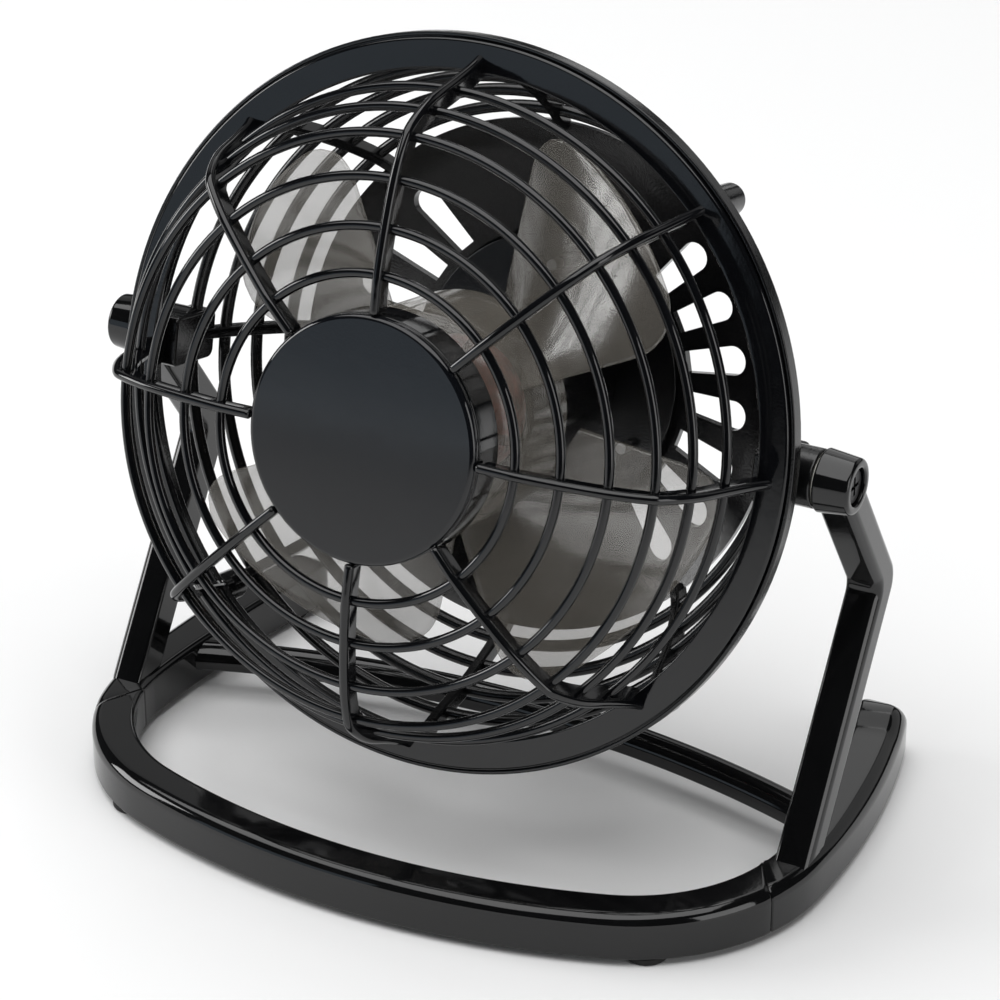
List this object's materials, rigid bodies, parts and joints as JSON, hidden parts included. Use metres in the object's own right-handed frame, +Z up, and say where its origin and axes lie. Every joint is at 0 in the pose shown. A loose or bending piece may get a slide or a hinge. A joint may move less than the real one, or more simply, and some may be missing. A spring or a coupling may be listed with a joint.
{
  "type": "desk fan",
  "caption": "Small round-headed desk fan in a wire-style guard, tilting between the two arms of an open base frame, with a smoky see-through impeller.",
  "frame": {"origin": "middle of the footprint, on the table", "axes": "+Z up, -Y the way the fan blows, +X to the right as seen from the front"},
  "size_m": [0.1458, 0.099, 0.1447],
  "materials": {
    "base_black": "moulded gloss black",
    "guard_black": "moulded gloss black",
    "cap_black": "polished black",
    "shell_black": "moulded gloss black, finely textured in the dish",
    "smoky_clear": "clear smoky grey, polished",
    "rubber_black": "soft matte",
    "zinc_screw": "zinc plated",
    "black_screw": "black oxide",
    "nylon_white": "natural nylon",
    "inner_grey": "moulded, matte",
    "switch_black": "fine satin",
    "contact_metal": "stamped strip",
    "lead_red": "soft wire insulation",
    "can_red": "red-brown varnish, mottled",
    "ferrite": "sintered, dark",
    "bush_bronze": "sintered, oiled",
    "shaft_steel": "ground",
    "core_steel": "laminated",
    "copper_wire": "lacquered copper"
  },
  "bodies": {
    "stand": {"front_bar": "base_black", "left_runner": "base_black", "right_runner": "base_black", "rear_bar": "base_black", "left_arm": "base_black", "right_arm": "base_black", "rubber_feet": "rubber_black", "base_screws": "zinc_screw", "arm_screws": "zinc_screw", "pivot_washers": "nylon_white"},
    "head": {"front_guard": "guard_black", "hub_cap": "cap_black", "rear_shell": "shell_black", "rear_cover": "shell_black", "motor_retainer": "inner_grey", "cord_inlet": "rubber_black", "switch_housing": "switch_black", "switch_terminals": "contact_metal", "motor_leads": "lead_red", "guard_screws": "zinc_screw", "cover_screws": "zinc_screw", "retainer_screws": "zinc_screw", "pivot_screws": "black_screw", "motor_can": "can_red", "motor_magnets": "ferrite", "motor_end_cap": "nylon_white", "motor_bushings": "bush_bronze", "motor_brushes": "contact_metal", "motor_terminals": "contact_metal"},
    "rotor": {"impeller": "smoky_clear", "motor_shaft": "shaft_steel", "armature_core": "core_steel", "armature_windings": "copper_wire", "commutator": "copper_wire"},
    "rocker": {"switch_rocker": "switch_black"}
  },
  "joints": [
    {"name": "head_tilt", "type": "hinge", "parent": "stand", "child": "head", "pos_m": [0, 0, 0.079], "axis": [-1, 0, 0], "range_deg": [-48, 77]},
    {"name": "fan_spin", "type": "hinge", "parent": "head", "child": "rotor", "pos_m": [0, 0, 0.079], "axis": [0, -0.974, 0.2267], "continuous": true},
    {"name": "switch_toggle", "type": "hinge", "parent": "head", "child": "rocker", "pos_m": [0, 0.04091, 0.07831], "axis": [0, 0.2267, 0.974], "range_deg": [-16, 0]}
  ]
}
